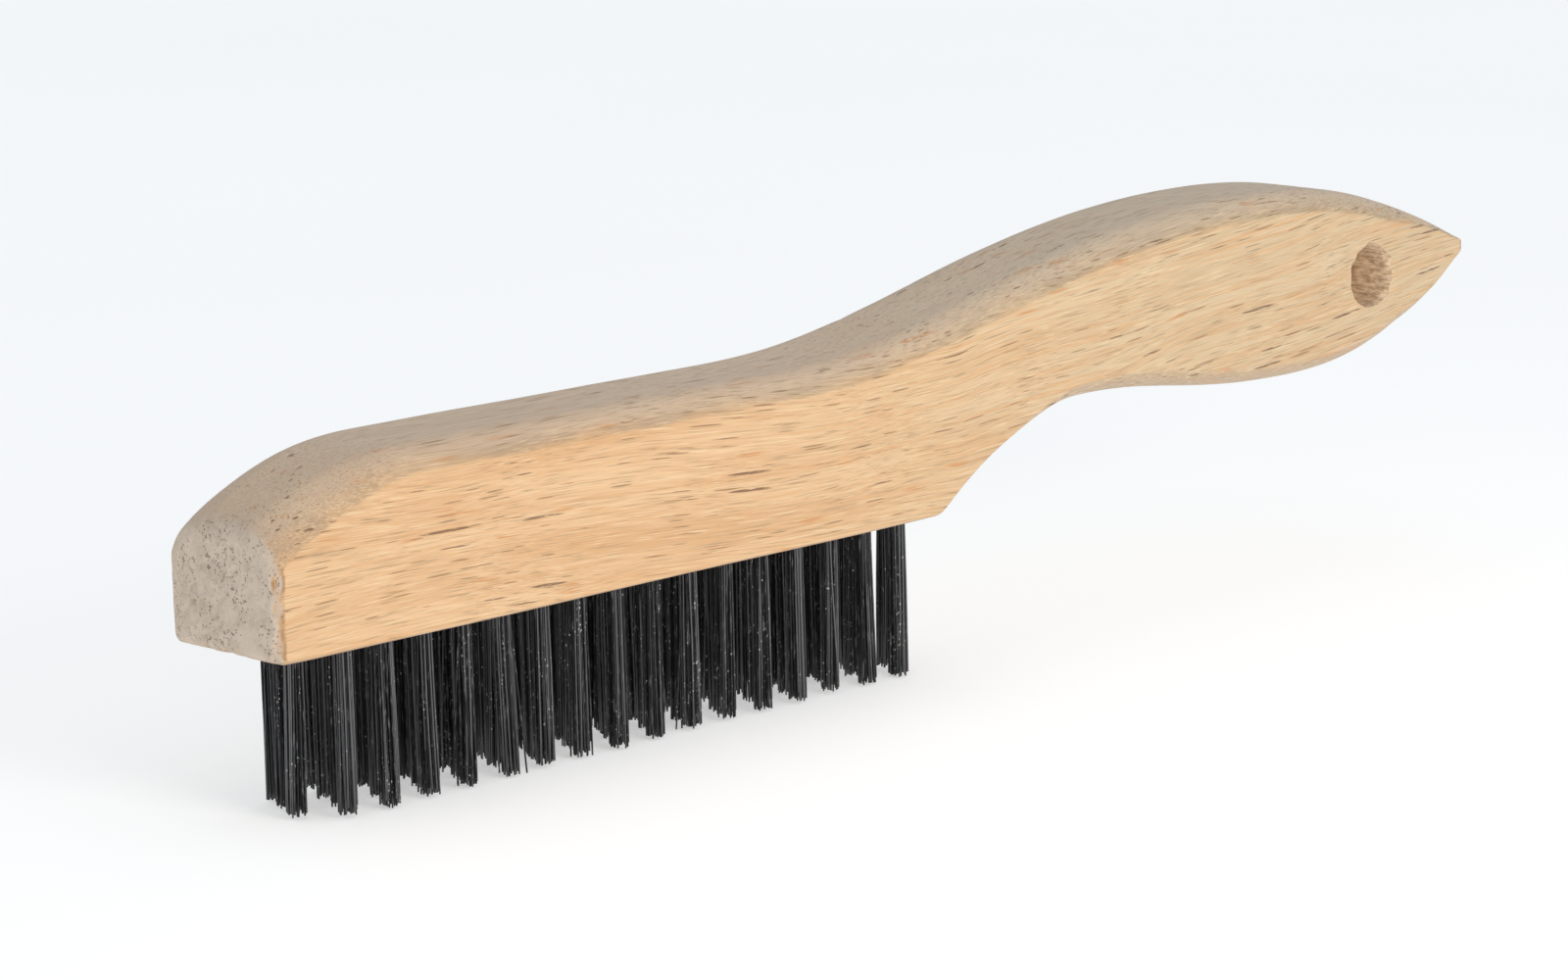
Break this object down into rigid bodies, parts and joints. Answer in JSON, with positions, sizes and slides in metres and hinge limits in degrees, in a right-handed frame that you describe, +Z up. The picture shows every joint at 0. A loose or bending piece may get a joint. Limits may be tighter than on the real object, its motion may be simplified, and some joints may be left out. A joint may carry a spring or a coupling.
{
  "type": "wire scratch brush",
  "caption": "Shoe-handled wire scratch brush: a shaped wooden block and handle with a hang hole, and tufts of dark steel wire anchored in blind holes.",
  "frame": {"origin": "under the middle of the brush's overall box, on the surface that the wire tips stand on", "axes": "+X along the brush from the toe of the block to the tail of the handle, +Y across the brush, +Z up from the wire tips to the wood"},
  "size_m": [0.26, 0.024, 0.0656],
  "materials": {
    "wood": "bare sanded hardwood, uncoated",
    "bristle_wire": "dark blued carbon-steel wire, satin",
    "anchor_wire": "plain flat steel wire"
  },
  "bodies": {
    "root": {"handle_block": "wood", "tuft_column_01": "bristle_wire", "tuft_column_02": "bristle_wire", "tuft_column_03": "bristle_wire", "tuft_column_04": "bristle_wire", "tuft_column_05": "bristle_wire", "tuft_column_06": "bristle_wire", "tuft_column_07": "bristle_wire", "tuft_column_08": "bristle_wire", "tuft_column_09": "bristle_wire", "tuft_column_10": "bristle_wire", "tuft_column_11": "bristle_wire", "tuft_column_12": "bristle_wire", "tuft_column_13": "bristle_wire", "tuft_column_14": "bristle_wire", "tuft_column_15": "bristle_wire", "tuft_column_16": "bristle_wire", "tuft_column_17": "bristle_wire", "anchor_column_01": "anchor_wire", "anchor_column_02": "anchor_wire", "anchor_column_03": "anchor_wire", "anchor_column_04": "anchor_wire", "anchor_column_05": "anchor_wire", "anchor_column_06": "anchor_wire", "anchor_column_07": "anchor_wire", "anchor_column_08": "anchor_wire", "anchor_column_09": "anchor_wire", "anchor_column_10": "anchor_wire", "anchor_column_11": "anchor_wire", "anchor_column_12": "anchor_wire", "anchor_column_13": "anchor_wire", "anchor_column_14": "anchor_wire", "anchor_column_15": "anchor_wire", "anchor_column_16": "anchor_wire", "anchor_column_17": "anchor_wire"}
  },
  "joints": []
}
